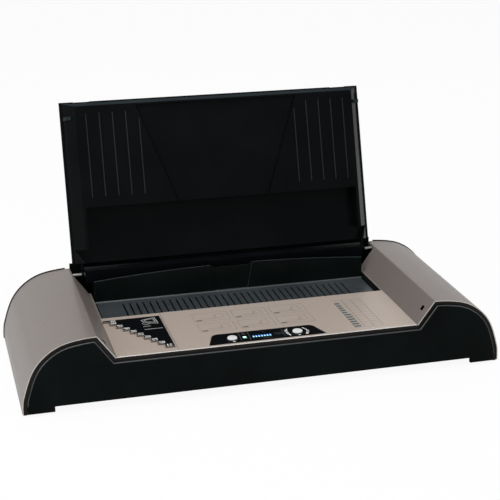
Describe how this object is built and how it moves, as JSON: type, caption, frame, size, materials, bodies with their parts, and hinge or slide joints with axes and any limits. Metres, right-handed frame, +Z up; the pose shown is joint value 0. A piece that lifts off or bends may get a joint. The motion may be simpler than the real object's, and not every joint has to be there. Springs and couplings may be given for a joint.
{
  "type": "thermal binding machine",
  "caption": "Desktop thermal binding machine with arched silver wings, sliding slotted document clamp over a heated channel, control panel and a lid standing open.",
  "frame": {"origin": "middle of the bounding box on the table, under the feet", "axes": "+X to the user's right, +Y to the back, +Z up"},
  "size_m": [0.5328, 0.2652, 0.2665],
  "materials": {
    "silver_case": "silver metallic paint, satin",
    "black_gloss": "polished",
    "black_satin": "satin",
    "black_matte": "matte",
    "dark_grey": "satin",
    "rubber": "matte",
    "steel": "zinc plated",
    "polished_steel": "polished",
    "aluminium": "plain",
    "white_button": "polished",
    "clear_rubber": "matte",
    "clear_plastic": "clear",
    "blue_light": "clear",
    "green_board": "lacquered",
    "element_film": "film",
    "insulation": "matte",
    "red_lead": "matte",
    "blue_lead": "matte",
    "brass": "plain",
    "white_bush": "plain",
    "iron_core": "lacquered",
    "blue_relay": "plain",
    "capacitor_sleeve": "sleeved",
    "grey_cable": "matte"
  },
  "bodies": {
    "base": {"base_pan": "black_matte", "rubber_feet": "rubber", "base_screws": "steel", "left_wing_cover": "silver_case", "right_wing_cover": "silver_case", "latch_catches": "steel", "front_fascia": "black_gloss", "rear_panel": "black_gloss", "deck_plate": "silver_case", "gauge_plate": "silver_case", "gauge_label": "black_satin", "control_panel": "black_gloss", "power_dome": "clear_rubber", "select_dome": "clear_rubber", "light_guides": "clear_plastic", "board_leds": "blue_light", "control_board": "green_board", "board_screws": "steel", "buzzer": "black_matte", "channel_frame": "dark_grey", "heater_plate": "aluminium", "heating_element": "element_film", "insulation_pad": "insulation", "heater_tray": "steel", "heater_standoffs": "insulation", "thermostat": "aluminium", "thermal_fuse": "steel", "heater_leads": "red_lead", "guide_rods": "polished_steel", "rod_holders": "black_matte", "rear_guide": "black_satin", "hinge_bushes": "white_bush", "power_board": "green_board", "board_pillars": "white_bush", "transformer": "iron_core", "relay": "blue_relay", "capacitor": "capacitor_sleeve", "terminal_blocks": "white_bush", "appliance_inlet": "black_matte", "inlet_pins": "brass", "inlet_screws": "steel", "inlet_leads": "blue_lead", "ribbon_cable": "grey_cable"},
    "lid": {"lid_liner": "black_gloss", "lid_shell": "black_gloss", "hinge_pins": "polished_steel"},
    "clamp": {"clamp_carriage": "dark_grey", "clamp_liner": "steel", "guide_bushes": "brass"},
    "power_press_button": {"power_button": "white_button"},
    "select_press_button": {"select_button": "white_button"}
  },
  "joints": [
    {"name": "lid_hinge", "type": "hinge", "parent": "base", "child": "lid", "pos_m": [0, 0.06287, 0.0775], "axis": [1, 0, 0], "range_deg": [0, 107.7]},
    {"name": "clamp_slide", "type": "slide", "parent": "base", "child": "clamp", "axis": [0, 1, 0], "range_m": [-0.05, 0.01]},
    {"name": "power_press", "type": "slide", "parent": "base", "child": "power_press_button", "axis": [0, 0, -1], "range_m": [0, 0.0012], "stiffness_N_per_m": 300, "springref_m": -0.001, "deforming": ["power_dome"]},
    {"name": "select_press", "type": "slide", "parent": "base", "child": "select_press_button", "axis": [0, 0, -1], "range_m": [0, 0.0012], "stiffness_N_per_m": 300, "springref_m": -0.001, "deforming": ["select_dome"]}
  ]
}
